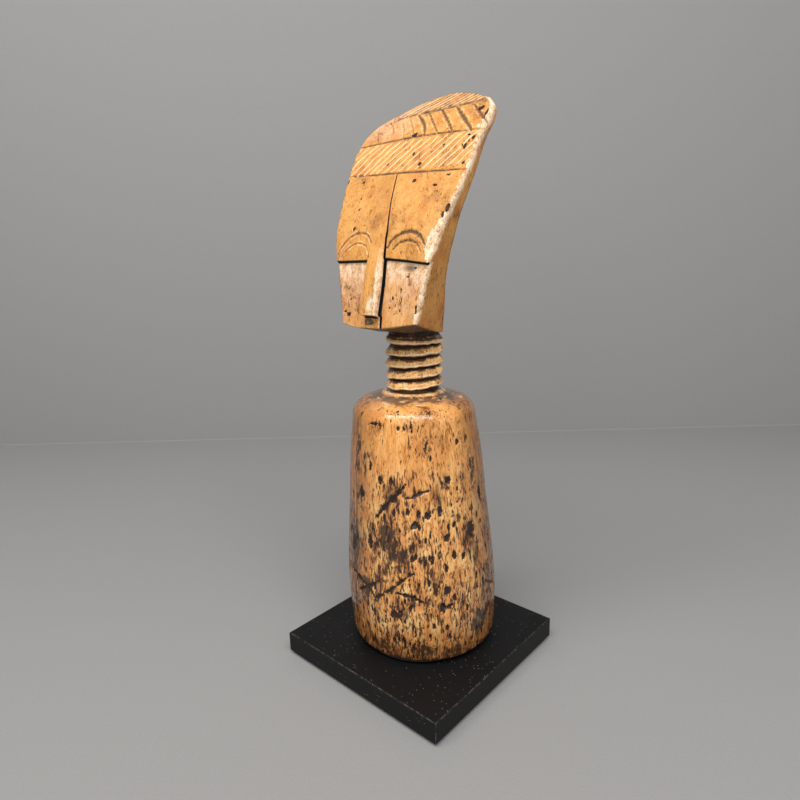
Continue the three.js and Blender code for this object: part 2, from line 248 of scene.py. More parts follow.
def carvedWood(name, look):
    material, tree, shader, place = startMaterial(name)
    field = {
        mark: add(tree, "Attribute", attribute_name=mark).outputs["Fac"]
        for mark in ("shadeAndPatina", "blush", "dash", *tornEdges)
    }
    noises = {"grain": (*look["grain"], 3, 0), "streak": (*look["streak"], 3, 7), **clouds}
    noises.update({k: (*pore[0], 2, 21 + 9 * k) for k, pore in enumerate(look["pores"])})
    for title, (width, length, detail, seed) in noises.items():
        stretched = add(tree, "Mapping", {
            "Vector": place, "Location": (seed, seed, seed),
            "Scale": (1000 / width, 1000 / width, 1000 / length)})
        field[title] = add(tree, "TexNoise", {
            "Vector": stretched, "Scale": 1, "Detail": detail, "Roughness": 0.6})
    blend = add(tree, "Mix", {"Factor": 0.45, "A": field["streak"], "B": field["grain"]})
    rub = add(tree, "Math MULTIPLY", field["fine"], 0.5)
    rub = add(tree, "Math MULTIPLY_ADD", field["smudge"], 0.5, rub)
    grainPaints = [look["dark"], look["middle"], look["light"]]
    ramps = []
    for value, spots, paints in (
            (blend, (0.36, 0.47, 0.62), grainPaints), (rub, (0.36, 0.45, 0.55), look["worn"])):
        ramps.append(add(tree, "ValToRGB", {"Fac": value}))
        stops = ramps[-1].color_ramp.elements
        for k in (0, 1):
            stops[k].position = spots[2 * k]
            stops[k].color = toLinear(paints[2 * k])
        stops.new(spots[1]).color = toLinear(paints[1])
    colour, scuff = ramps
    # each layer's share is a product: field or mark, where it starts and is full, its most
    layers = [
        ("russet", [("drift", 0.5, 0.66, look["russets"])]),
        ("honey", [("drift", 0.54, 0.4, 1), ("streak", 0.42, 0.62, 1),
                   ("dash", 0, 0.8, look["honeys"])]),
        ("patinaAndShadeColour", [("cloud", 0.52, 0.68, look["patinas"])]),
        # painted shade and patina, where the mesh asks for it, in the patina brown
        ("patinaAndShadeColour", [("shadeAndPatina", 0, 1, 1), ("streak", 0.25, 0.6, 1)]),
        ("blush", [("blush", 0, 1, 1), ("smudge", 0.3, 0.6, 0.9)]),
    ]
    for paint, shares in layers:
        amount = 1.0
        for title, low, high, most in shares:
            share = add(tree, "MapRange", {
                "Value": field[title], "From Min": low, "From Max": high, "To Max": most})
            amount = add(tree, "Math MULTIPLY", share, amount)
        colour = add(tree, "Mix", {"Factor": amount, "A": colour, "B": toLinear(look[paint])},
                     data_type="RGBA")
    # open pores: a brown halo round a dark core, thick where the mesh asks for them
    openings = 0.0
    for k, (_, amount, most) in enumerate(look["pores"]):
        layer = add(tree, "Math MULTIPLY_ADD", field["dash"], amount, field[k])
        layer = add(tree, "Math MULTIPLY_ADD", field["cloud"], 0.35, layer)
        for paint, low, high, share in (("halo", 0.775, 0.835, 0.75), ("pore", 0.835, 0.885, 1)):
            core = add(tree, "MapRange", {
                "Value": layer, "From Min": low, "From Max": high, "To Max": most * share})
            colour = add(tree, "Mix", {"Factor": core, "A": colour, "B": toLinear(look[paint])},
                         data_type="RGBA")
        openings = add(tree, "Math MAXIMUM", core, openings)
    torn = {}
    for mark, (paint, coarse, small, low, high, most) in tornEdges.items():
        edge = add(tree, "Math MULTIPLY_ADD", field["smudge"], coarse, field[mark])
        edge = add(tree, "Math MULTIPLY_ADD", field["fine"], small, edge)
        middle = (coarse + small) / 2
        torn[mark] = add(tree, "MapRange", {
            "Value": edge, "From Min": low + middle, "From Max": high + middle, "To Max": most})
        over = scuff if mark == "wear" else toLinear(look[paint])
        colour = add(tree, "Mix", {"Factor": torn[mark], "A": colour, "B": over}, data_type="RGBA")
    dull = add(tree, "Math MAXIMUM", torn["pit"], torn["recessShadow"])
    rough = add(tree, "MapRange", {
        "Value": field["smudge"], "From Min": 0.3, "From Max": 0.7,
        "To Min": look["roughness"] - 0.08, "To Max": look["roughness"] + 0.12})
    rough = add(tree, "Mix", {"Factor": dull, "A": rough, "B": 0.85})
    height = add(tree, "Math MULTIPLY", blend, 0.5)
    height = add(tree, "Math MULTIPLY_ADD", openings, -0.9, height)
    height = add(tree, "Math MULTIPLY_ADD", dull, -0.9, height)
    coarser = add(tree, "Math MULTIPLY_ADD", field["wear"], 0.5, 0.06)
    height = add(tree, "Math MULTIPLY_ADD", field["fine"], coarser, height)
    # the handled shoulder is rubbed smoother than the wood lower down
    steady = add(tree, "MapRange", {
        "Value": field["dash"], "From Min": 0.05, "From Max": 0.5, "To Min": look["calm"]})
    height = add(tree, "Math MULTIPLY", height, steady)
    bump = add(tree, "Bump", {
        "Strength": 0.8, "Distance": look["relief"] * 4 * mm, "Height": height})
    fill(tree, shader, {
        "Base Color": colour, "Roughness": rough, "IOR": 1.5, "Coat Weight": look["coat"],
        "Coat Roughness": look["coatRoughness"], "Specular IOR Level": look["gloss"],
        "Normal": bump})
    return material


# Satin black paint over wood: near black, soft gloss, dust in it and the arrises rubbed thin
blackPaint = {
    "paint": "#070708", "thin": "#121113", "rubbed": "#6b6966", "dust": "#b4b2ae",
    "roughness": 0.5, "edge": 0.7, "speck": 1.7, "gloss": 0.25,
}


def paintedWood():
    look = blackPaint
    material, tree, shader, place = startMaterial("satinBlackPaint")
    apart = add(tree, "SeparateXYZ", place)
    reach = [add(tree, "Math ABSOLUTE", apart.outputs[i]) for i in (0, 1)]
    widest = add(tree, "Math MAXIMUM", *reach)
    least = add(tree, "Math MINIMUM", *reach)
    # how near a point is to a side, to the top and to an upright arris
    near = [
        add(tree, "MapRange", {
            "Value": value, "From Min": end - share * look["edge"] * mm, "From Max": end - short})
        for value, end, share, short in (
            (widest, plateHigh.x, 1, 0), (apart.outputs[2], plateHigh.z, 1, 0.1 * mm),
            (least, plateHigh.x, 0.6, 0))
    ]
    arris = add(tree, "Math MULTIPLY", near[0], near[1])
    arris = add(tree, "Math MAXIMUM", arris, near[2])
    breakUp = add(tree, "TexNoise", {"Vector": place, "Scale": 420, "Detail": 4})
    chipped = add(tree, "MapRange", {"Value": breakUp, "From Min": 0.42, "From Max": 0.62})
    worn = add(tree, "Math MULTIPLY", arris, chipped)
    cloud = add(tree, "TexNoise", {"Vector": place, "Scale": 45, "Detail": 4})
    specks = add(tree, "TexVoronoi", {"Vector": place, "Scale": 1000 / look["speck"]})
    speck = add(tree, "MapRange", {
        "Value": specks.outputs["Distance"], "From Min": 0.13, "From Max": 0.06})
    few = add(tree, "SeparateXYZ", specks.outputs["Color"])
    chosen = add(tree, "Math GREATER_THAN", few.outputs[0], 0.62)
    dusty = add(tree, "Math MULTIPLY", speck, chosen)
    colour = toLinear(look["paint"])
    for amount, paint in ((cloud, "thin"), (worn, "rubbed"), (dusty, "dust")):
        colour = add(tree, "Mix", {"Factor": amount, "A": colour, "B": toLinear(look[paint])},
                     data_type="RGBA")
    rough = add(tree, "MapRange", {
        "Value": cloud, "To Min": look["roughness"] - 0.06, "To Max": look["roughness"] + 0.12})
    grit = add(tree, "TexNoise", {"Vector": place, "Scale": 1300, "Detail": 2})
    bump = add(tree, "Bump", {"Strength": 0.25, "Distance": 0.2 * mm, "Height": grit})
    fill(tree, shader, {
        "Base Color": colour, "Roughness": rough, "Specular IOR Level": look["gloss"],
        "Normal": bump})
    return material


# Pressed wool felt, charcoal: no gloss, a fuzzy nap of short tangled fibres about 0.3 mm across
def woolFelt():
    material, tree, shader, place = startMaterial("woolFelt")
    fibres = add(tree, "TexNoise", {
        "Vector": place, "Scale": 3000, "Detail": 4, "Distortion": 1.5})
    colour = add(tree, "Mix", {
        "Factor": fibres, "A": toLinear("#121214"), "B": toLinear("#37373b")}, data_type="RGBA")
    bump = add(tree, "Bump", {"Strength": 0.8, "Distance": 0.4 * mm, "Height": fibres})
    fill(tree, shader, {
        "Base Color": colour, "Roughness": 0.95, "Sheen Weight": 0.35, "Sheen Roughness": 0.5,
        "Normal": bump})
    return material


# Zinc-plated turned steel: bluish silver with fine rings left by the lathe, about 0.25 mm apart
def platedSteel():
    material, tree, shader, place = startMaterial("zincPlatedSteel")
    rings = add(tree, "Mapping", {"Vector": place, "Scale": (120, 120, 4000)})
    turning = add(tree, "TexNoise", {"Vector": rings, "Scale": 1, "Detail": 2})
    cloud = add(tree, "TexNoise", {"Vector": place, "Scale": 260, "Detail": 4})
    colour = add(tree, "Mix", {
        "Factor": cloud, "A": toLinear("#a9adb1"), "B": toLinear("#c6c8c6")}, data_type="RGBA")
    rough = add(tree, "MapRange", {"Value": turning, "To Min": 0.22, "To Max": 0.42})
    bump = add(tree, "Bump", {"Strength": 0.3, "Distance": 0.05 * mm, "Height": turning})
    fill(tree, shader, {
        "Base Color": colour, "Metallic": 1, "Roughness": rough, "Normal": bump})
    return material


finishes = {
    "head": carvedWood("carvedHeadWood", headWood),
    "neck": carvedWood("carvedNeckWood", neckWood),
    "body": carvedWood("carvedBodyWood", bodyWood),
    "paint": paintedWood(), "felt": woolFelt(), "steel": platedSteel(),
}
nodeFinish = {
    "display_plate": "paint", "support_post": "steel", "post_washer": "steel",
    "post_nut": "steel", "felt_ring": "felt",
    "pad_1": "felt", "pad_2": "felt", "pad_3": "felt", "pad_4": "felt",
}
for node, finish in nodeFinish.items():
    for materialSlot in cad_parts[node].material_slots:
        materialSlot.material = finishes[finish]
print("materials made")


# Turned shapes: a grid wound round an upright axis, shared by the body and the neck
def newTree(name, numbers, takesMesh=False):
    tree = bpy.data.node_groups.new(name, "GeometryNodeTree")
    if takesMesh:
        tree.interface.new_socket("Geometry", in_out="INPUT", socket_type="NodeSocketGeometry")
    tree.interface.new_socket("Geometry", in_out="OUTPUT", socket_type="NodeSocketGeometry")
    for title, value in numbers.items():
        kind = "NodeSocketInt" if isinstance(value, int) else "NodeSocketFloat"
        socket = tree.interface.new_socket(title, in_out="INPUT", socket_type=kind)
        socket.default_value = value
    return tree, add(tree, "NodeGroupInput").outputs


# One mesh from a tree: inputs are set by identifier, and the modifier never reaches the piece
def shaped(name, tree, numbers, mesh=None):
    maker = bpy.data.objects.new(name + "Maker", mesh or bpy.data.meshes.new(name + "Start"))
    scene.collection.objects.link(maker)
    modifier = maker.modifiers.new("shape", "NODES")
    modifier.node_group = tree
    for item in tree.interface.items_tree:
        if item.in_out == "INPUT" and item.name in numbers:
            modifier[item.identifier] = numbers[item.name]
    graph = bpy.context.evaluated_depsgraph_get()
    made = bpy.data.meshes.new_from_object(
        maker.evaluated_get(graph), preserve_all_data_layers=True, depsgraph=graph)
    bpy.data.objects.remove(maker)
    made.name = name
    return made


def keepAsPiece(name, mesh, body):
    mesh.validate()
    mesh.shade_smooth()
    piece = bpy.data.objects.new(name, mesh)
    scene.collection.objects.link(piece)
    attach(piece, body)
    print(name, "has", sum(len(p.vertices) - 2 for p in mesh.polygons), "triangles")
    return piece


# Winds a grid round the axis. The profile's columns are radius, height, the shares of the foot's
# offset and of the lean, the tilt, and any marks to store. Returns the closed geometry.
def windRound(tree, given, profile, columns):
    rows = np.array(profile, float)
    weight = np.hypot(*(np.diff(rows[:, :2], axis=0).T))
    slack = np.where((rows[1:, 1] <= 0.01) | (rows[1:, 0] < 8), 0.2, 1)  # unseen: fewer rows
    places = np.concatenate([[0], np.cumsum(weight * slack)])
    places /= places[-1]
    grid = add(tree, "MeshGrid", 1.0, 1.0, given["Columns"], given["Rows"])
    spot = add(tree, "SeparateXYZ", add(tree, "InputPosition"))
    angle = add(tree, "Math MULTIPLY", spot.outputs[0], 2 * math.pi)
    along = add(tree, "Math ADD", spot.outputs[1], 0.5)
    column = {}
    for i, title in enumerate(columns):
        low, high = rows[:, i].min(), rows[:, i].max()
        curve = add(tree, "FloatCurve", {"Value": along})
        line = curve.mapping.curves[0]
        shares = (rows[:, i] - low) / max(high - low, 1e-9)
        line.points[0].location = (0, shares[0])
        line.points[1].location = (1, shares[-1])
        for place, share in zip(places[1:-1], shares[1:-1]):
            line.points.new(place, share)
        for point in line.points:
            point.handle_type = "VECTOR"
        curve.mapping.update()
        column[title] = add(tree, "MapRange", {
            "Value": curve, "To Min": float(low), "To Max": float(high)})
    # a ring that is not level rises towards one side
    slope = add(tree, "Math SUBTRACT", angle, given["Tilt Side"])
    slope = add(tree, "Math COSINE", slope)
    slope = add(tree, "Math MULTIPLY", slope, column["tilt"])
    lift = add(tree, "Math MULTIPLY_ADD", slope, column["radius"], column["height"])
    out = []
    for axis, turn in (("X", "COSINE"), ("Y", "SINE")):
        middle = add(tree, "Math MULTIPLY", given["Foot " + axis], column["foot"])
        middle = add(tree, "Math MULTIPLY_ADD", given["Lean " + axis], column["lean"], middle)
        turn = add(tree, "Math " + turn, angle)
        out.append(add(tree, "Math MULTIPLY_ADD", turn, column["radius"], middle))
    target = add(tree, "CombineXYZ", *out, add(tree, "Math ADD", lift, given["Base"]))
    target = add(tree, "VectorMath SCALE", target, {"Scale": mm})
    shape = grid.outputs["Mesh"]
    for title in columns[5:]:
        shape = add(tree, "StoreNamedAttribute", {
            "Geometry": shape, "Name": title, "Value": column[title],
        }, data_type="FLOAT", domain="POINT")
    shape = add(tree, "SetPosition", {"Geometry": shape, "Position": target})
    return add(tree, "MergeByDistance", {"Geometry": shape, "Distance": 0.02 * mm})


def finishTree(tree, shape, material):
    shape = add(tree, "RealizeInstances", shape)
    shape = add(tree, "SetMaterial", {"Geometry": shape, "Material": material})
    add(tree, "NodeGroupOutput", shape)


# Body
bodySizes = {
    "footRadius": 44.8, "footRound": 3, "boreRadius": 4.4, "boreDepth": 46.1,
    "sides": [(44.8, 3), (45.9, 25), (41.5, 94), (39.5, 118), (36.5, 140)],
    "topHeight": 140, "shoulderRound": 10.5, "shoulderReach": 12.4,
    "neckRadius": 14.7, "neckBottom": 154.9, "lipRadius": 17.6, "lipHeight": 153.9,
}
bodyNumbers = {
    "Columns": 401, "Rows": 232, "Base": footZ,
    "Foot X": -1.3, "Foot Y": 4.5, "Lean X": -2.8, "Lean Y": -2.6, "Tilt Side": 0.0,
    "Pit Width": 3.0, "Pit Length": 7.5, "Pit Depth": 0.75,
    "Dash Width": 1.5, "Dash Length": 7.0, "Unevenness": 0.9, "Seed": 4.0,
}


def hermite(stations, count):
    knots = np.array(stations, float)
    t = np.concatenate([[0], np.cumsum(np.linalg.norm(np.diff(knots[:, :3], axis=0), axis=1))])
    slopes = np.gradient(knots, t, axis=0)
    where = np.linspace(0, t[-1], count)
    i = np.clip(np.searchsorted(t, where, side="right") - 1, 0, len(t) - 2)
    step = (t[i + 1] - t[i])[:, None]
    s = (where[:, None] - t[i][:, None]) / step
    return (
        knots[i] * (1 + 2 * s) * (1 - s) ** 2 + slopes[i] * step * s * (1 - s) ** 2
        + knots[i + 1] * s * s * (3 - 2 * s) + slopes[i + 1] * step * s * s * (s - 1)
    ), where


def bodyProfile():
    s = bodySizes
    # radius, height, foot share, lean share, tilt, wear, stain, dash
    rows = [
        (0, s["boreDepth"], 0, 0, 0, 0, 0, 0),
        (s["boreRadius"], s["boreDepth"], 0, 0, 0, 0, 0, 0),
        (s["boreRadius"], 0, 0, 0, 0, 0, 0, 0),
        (s["footRadius"] - s["footRound"], 0, 1, 0, 0, 0, 0.4, 0),
    ]
    for k in range(1, 6):
        a = k / 5 * math.pi / 2
        rows.append((
            s["footRadius"] - s["footRound"] * (1 - math.sin(a)),
            s["footRound"] * (1 - math.cos(a)), 1, 0, 0, 0, 0.55, 1,
        ))
    sides, _ = hermite([(h, r, 0) for r, h in s["sides"]], 40)
    for h, r, _ in sides[1:]:
        dash = float(np.interp(h, [0, 60, 95, 112, 125, 140], [1, 0.95, 0.7, 0.35, 0.12, 0.05]))
        foot = float(np.interp(h, [3, 7, 14], [0.42, 0.3, 0]))
        rows.append((r, h, 1, h / s["topHeight"], 0, 0, foot, dash))
    for k in range(1, 13):
        a = k / 12 * math.pi / 2
        rows.append((
            s["sides"][-1][0] - s["shoulderReach"] * (1 - math.cos(a)),
            s["topHeight"] + s["shoulderRound"] * math.sin(a), 1, 1, 0, 0, 0, 0.05,
        ))
    rows += [
        (s["lipRadius"] + 1.4, s["lipHeight"] - 1.2, 1, 1, 0, 0, 0.6, 0),
        (s["lipRadius"], s["lipHeight"], 1, 1, 0, 1, 0.2, 0),
        (s["lipRadius"] - 1.4, s["lipHeight"] + 0.1, 1, 1, 0, 0.5, 0.6, 0),
        (s["neckRadius"] - 0.2, s["neckBottom"] - 0.6, 1, 1, 0, 0, 1, 0),
        (s["neckRadius"] - 1, s["neckBottom"] + 2, 1, 1, 0, 0, 1, 0),
        (0, s["neckBottom"] + 2, 1, 1, 0, 0, 1, 0),
    ]
    return rows


def bodyTree():
    tree, given = newTree("carvedBarrel", bodyNumbers)
    shape = windRound(
        tree, given, bodyProfile(),
        ["radius", "height", "foot", "lean", "tilt", "wear", "stainAndShade", "dash"])
    place = add(tree, "InputPosition")
    dash = add(tree, "InputNamedAttribute", {"Name": "dash"}, data_type="FLOAT")
    # space pulled out along the grain, at four sizes
    space = {}
    for title, width, length in (
            ("pit", given["Pit Width"], given["Pit Length"]), ("patch", 18.0, 30.0),
            ("pore", given["Dash Width"], given["Dash Length"]), ("swell", 20.0, 34.0)):
        thick = add(tree, "Math DIVIDE", 1000, width)
        tall = add(tree, "Math DIVIDE", 1000, length)
        scale = add(tree, "CombineXYZ", thick, thick, tall)
        space[title] = add(tree, "VectorMath MULTIPLY", place, scale)
    patch, pores, swell = (
        add(tree, "TexNoise", {
            "Vector": space[title], "W": given["Seed"], "Scale": 1.0, "Detail": 2.0,
        }, noise_dimensions="4D")
        for title in ("patch", "pore", "swell"))
    # lone pits, one to a cell, in the cells that are chosen
    cells = add(tree, "TexVoronoi", {"Vector": space["pit"], "W": given["Seed"], "Scale": 1.0},
                voronoi_dimensions="4D")
    pit = add(tree, "MapRange", {
        "Value": cells.outputs["Distance"], "From Min": 0.42, "From Max": 0.22,
    }, interpolation_type="SMOOTHSTEP")
    pick = add(tree, "SeparateXYZ", cells.outputs["Color"])
    share = add(tree, "MapRange", {
        "Value": patch, "From Min": 0.35, "From Max": 0.65, "To Min": 0.16, "To Max": 0.6})
    share = add(tree, "Math MULTIPLY", share, dash)
    chosen = add(tree, "Math LESS_THAN", pick.outputs[0], share)
    pit = add(tree, "Math MULTIPLY", pit, chosen)
    # ragged open pores that run with the grain
    pore = add(tree, "MapRange", {"Value": pores, "From Min": 0.56, "From Max": 0.68},
               interpolation_type="SMOOTHSTEP")
    pore = add(tree, "Math MULTIPLY", pore, dash)
    mark = add(tree, "Math MAXIMUM", pit, pore)
    shape = add(tree, "StoreNamedAttribute", {"Geometry": shape, "Name": "pit", "Value": mark},
                data_type="FLOAT", domain="POINT")
    swell = add(tree, "Math SUBTRACT", swell, 0.5)
    swell = add(tree, "Math MULTIPLY", swell, given["Unevenness"])
    sink = add(tree, "Math MULTIPLY", mark, given["Pit Depth"])
    push = add(tree, "Math SUBTRACT", swell, sink)
    # the foot's flat underside and the bore stay as drilled
    apart = add(tree, "SeparateXYZ", place)
    above = add(tree, "MapRange", {
        "Value": apart.outputs[2], "From Min": (footZ + 0.1) * mm, "From Max": (footZ + 3) * mm})
    flat = add(tree, "CombineXYZ", apart.outputs[0], apart.outputs[1])
    away = add(tree, "VectorMath LENGTH", flat)
    outside = add(tree, "MapRange", {
        "Value": away.outputs["Value"], "From Min": 8 * mm, "From Max": 20 * mm})
    for share in (above, outside, mm):
        push = add(tree, "Math MULTIPLY", push, share)
    offset = add(tree, "VectorMath SCALE", add(tree, "InputNormal"), {"Scale": push})
    shape = add(tree, "SetPosition", {"Geometry": shape, "Offset": offset})
    finishTree(tree, shape, finishes["body"])
    return tree


# Gouges left by a knife: angle round the axis and height above the foot at each point, half width
bodyGouges = [
    ([(-58, 109), (-68, 101), (-77, 94), (-83, 88)], 1.5),
    ([(-59, 101), (-52, 102), (-47, 104), (-40, 105)], 1.3),
    ([(-52, 146), (-52, 141), (-51, 135)], 0.7),
    ([(-39, 133), (-41, 127), (-40, 124)], 0.8),
    ([(-94, 140), (-86, 141), (-77, 141)], 0.9),
    ([(-86, 38), (-74, 45), (-64, 52), (-58, 56), (-53, 58)], 1.2),
    ([(-68, 45), (-57, 43), (-48, 40)], 1.1),
    ([(-106, 36), (-90, 45), (-80, 51)], 1.1),
    ([(-118, 49), (-103, 46), (-91, 42), (-85, 36)], 1.2),
    ([(4, 43), (25, 33)], 0.9),
    ([(-35, 35), (-26, 37)], 1.0),
]
# Soft dark stains: angle, height, half width and half height in mm, strength
bodyStains = [
    (-104, 97, 5, 9, 0.75), (-112, 67, 9, 20, 0.75), (-74, 77, 9, 11, 0.84), (-66, 66, 8, 8, 0.78),
    (-2, 19, 8, 9, 0.95), (-49, 9, 9, 5, 0.8), (-6, 78, 4, 6, 0.8), (-97, 43, 9, 9, 0.75),
    (3, 112, 5, 16, 0.7), (20, 60, 8, 26, 0.5), (-84, 8, 8, 5, 0.75), (-28, 6, 9, 6, 0.75),
    (-106, 122, 4, 16, 0.72), (-16, 88, 8, 5, 0.6), (-62, 30, 6, 10, 0.55), (120, 90, 14, 30, 0.5),
    (-96, 118, 2, 12, 0.7), (-3, 130, 4, 9, 0.62), (-110, 24, 5, 14, 0.66), (12, 40, 5, 22, 0.62),
    (165, 40, 16, 22, 0.5), (80, 28, 12, 18, 0.5), (60, 120, 9, 14, 0.4), (-160, 110, 12, 20, 0.5),
]
# Larger single pits: angle, height, half width, half height
bodyPits = [
    (-80, 110, 1.5, 2.6), (-70, 110, 1.3, 2.4), (-57, 93, 1.3, 2.2), (-49, 92, 1.2, 2.6),
    (-42, 91, 1.9, 2.2), (-32, 93, 1.4, 3), (-24, 110, 2, 2.4), (-21, 84, 1.4, 2),
    (-52, 86, 2.2, 2.4), (-90, 117, 1.2, 3), (-63, 140, 1.0, 1.4), (-58, 140, 0.8, 1.5),
    (-11, 130, 1.3, 1.5), (-28, 77, 2, 2.2), (-23, 66, 1.4, 2.8), (-15, 64, 1.3, 2.2),
    (-55, 66, 1.5, 2.2), (-31, 46, 1.8, 2.4), (-25, 41, 1.4, 2), (-69, 31, 1.2, 2.4),
    (-65, 32, 1, 2), (-35, 36, 1.3, 2.6), (-30, 59, 1.1, 2.2), (-6, 78, 2.6, 5),
    (-101, 100, 2, 4), (-111, 66, 2.4, 5), (-90, 72, 1.6, 5), (12, 96, 2, 4),
]


# Distance from points to a broken line, with how far along it the nearest spot is, from 0 to 1
def fromLine(points, line):
    line = np.array(line, float)
    lengths = np.linalg.norm(np.diff(line, axis=0), axis=1)
    starts = np.concatenate([[0], np.cumsum(lengths)])
    best = np.full(len(points), 1e9)
    where = np.zeros(len(points))
    for a, b, length, start in zip(line[:-1], line[1:], lengths, starts):
        t = np.clip(((points - a) @ (b - a)) / length ** 2, 0, 1)
        away = np.linalg.norm(points - (a + t[:, None] * (b - a)), axis=1)
        nearer = away < best
        best[nearer] = away[nearer]
        where[nearer] = (start + t[nearer] * length) / starts[-1]
    return best, where


# Smooth wandering between -1 and 1 over points, from waves in eight directions
def wander(points, size, seed):
    rng = np.random.default_rng(seed)
    total = np.zeros(points.shape[:-1])
    for k in range(8):
        turn, start = rng.uniform(0, 2 * math.pi, 2)
        length = size * rng.uniform(0.6, 1.7)
        way = np.array([math.cos(turn), math.sin(turn)]) * 2 * math.pi / length
        total += np.sin(points @ way + start)
    return total / 4


def readFloats(mesh, name):
    found = mesh.attributes.get(name) or mesh.attributes.new(name, "FLOAT", "POINT")
    values = np.zeros(len(mesh.vertices), np.float32)
    found.data.foreach_get("value", values)
    return values


def writeFloats(mesh, name, values):
    found = mesh.attributes.get(name) or mesh.attributes.new(name, "FLOAT", "POINT")
    found.data.foreach_set("value", np.asarray(values, np.float32))


def carveBody(mesh):
    count = len(mesh.vertices)
    co = np.zeros(count * 3, np.float32)
    normal = np.zeros(count * 3, np.float32)
    mesh.vertices.foreach_get("co", co)
    mesh.vertex_normals.foreach_get("vector", normal)
    co, normal = co.reshape(-1, 3) / mm, normal.reshape(-1, 3)
    height = co[:, 2] - footZ
    lean = np.minimum(height / bodySizes["topHeight"], 1)
    x = co[:, 0] - bodyNumbers["Foot X"] - bodyNumbers["Lean X"] * lean
    y = co[:, 1] - bodyNumbers["Foot Y"] - bodyNumbers["Lean Y"] * lean
    outside = (np.hypot(x, y) > 20) & (height > 0.5)
    angle = np.degrees(np.arctan2(y, x))
    degree = 0.75  # mm along the barrel for one degree
    pit, stainAndShade, wear = (readFloats(mesh, name) for name in ("pit", "stainAndShade", "wear"))
    depth = np.zeros(count)
    spots = np.stack([angle * degree, height], axis=1)
    torn = spots + np.stack([wander(spots, 2.2, 5), wander(spots, 3.0, 6)], axis=1) * 0.45
    rng = np.random.default_rng(7)
    for line, half in bodyGouges:
        path = hermite([(a * degree, h, 0) for a, h in line], 20)[0][:, :2]
        away, where = fromLine(torn, path)
        half = half * (0.4 + 0.75 * np.sin(np.clip(where, 0.04, 0.96) * math.pi))
        half = half * (1 + 0.35 * np.sin(where * 23 + rng.uniform(0, 6)))
        groove = np.clip(1 - away / half, 0, 1) * outside
        depth = np.maximum(depth, groove * 1.1)
        pit = np.maximum(pit, np.clip(groove * 1.25, 0, 1))
        stainAndShade = np.maximum(stainAndShade, np.clip(1 - away / (half * 2.8), 0, 1) * 0.75 * outside)
    for a, h, wide, tall in bodyPits:
        q = np.hypot((torn[:, 0] - a * degree) / wide, (torn[:, 1] - h) / tall)
        hollow = np.clip(1.3 - q, 0, 1) * outside
        depth = np.maximum(depth, hollow * 1.1)
        pit = np.maximum(pit, np.clip(hollow * 1.5, 0, 1))
    blotch = 0.5 + 0.5 * wander(spots, 7, 8)
    for a, h, wide, tall, strength in bodyStains:
        turn = (angle - a + 180) % 360 - 180
        q = np.hypot(turn * degree / wide, (height - h) / tall)
        patch = np.clip((1.4 - q) * 1.2, 0, 1) * (0.65 + 0.35 * blotch)
        stainAndShade = np.maximum(stainAndShade, 0.96 * strength * patch * outside)
    # dirt that settled round the neck, with scratches that run round it
    away = np.hypot(x, y)
    onTop = (height > 141) & (away > 15)
    around = np.stack([angle * 0.12, away * 1.3], axis=1)
    rings = wander(around, 3.5, 15)
    border = 28.5 + 2.2 * wander(spots * (1, 0), 26, 16) + 0.7 * rings
    dirt = np.clip((border - away) / 6, 0, 1) * (0.7 + 0.35 * rings)
    dirt *= onTop * np.clip((away - 18.6) / 1.2, 0, 1)
    scratch = np.clip(wander(around * (0.6, 1), 2.2, 17) - 0.3, 0, 1) * 0.9
    wear = np.where(onTop & (away < 21), wear * (0.75 + 0.4 * wander(spots * (1, 0), 22, 18)), wear)
    line = scratch * onTop * (away < 29)
    co -= normal * depth[:, None]
    mesh.vertices.foreach_set("co", (co * mm).astype(np.float32).ravel())
    # painted shade: darker towards the foot and down the two sides turned away from the camera
    shadeAndPatina = np.interp(height, [0, 6, 16, 30], [1, 1, 0.5, 0.05])
    turned = np.abs((angle + 48 + 180) % 360 - 180)
    shadeAndPatina = np.maximum(shadeAndPatina, np.interp(turned, [32, 62, 180], [0, 1, 1])) * outside
    marks = {
        "pit": pit, "stainAndShade": stainAndShade, "wear": wear, "shadeAndPatina": shadeAndPatina, "line": line, "dirt": dirt}
    for name, values in marks.items():
        writeFloats(mesh, name, values)
    mesh.update()


body = shaped("doll_body", bodyTree(), bodyNumbers)
carveBody(body)
body = keepAsPiece("doll_body", body, "doll")

# Neck
neckSizes = {
    "radius": 13.9, "ring": 16.9, "bottom": 154.9, "pitch": 6.4, "count": 5, "height": 33.6,
    "tilts": [3, 4, 3, 2.5, -1.5],
}
neckNumbers = {
    "Columns": 251, "Rows": 230, "Base": footZ + neckSizes["bottom"],
    "Foot X": -3.4, "Foot Y": 2.5, "Lean X": 0.0, "Lean Y": 0.0, "Tilt Side": math.radians(42),
    "Wave": 1.15, "Wave Size": 6.0, "Seed": 11.0,
}


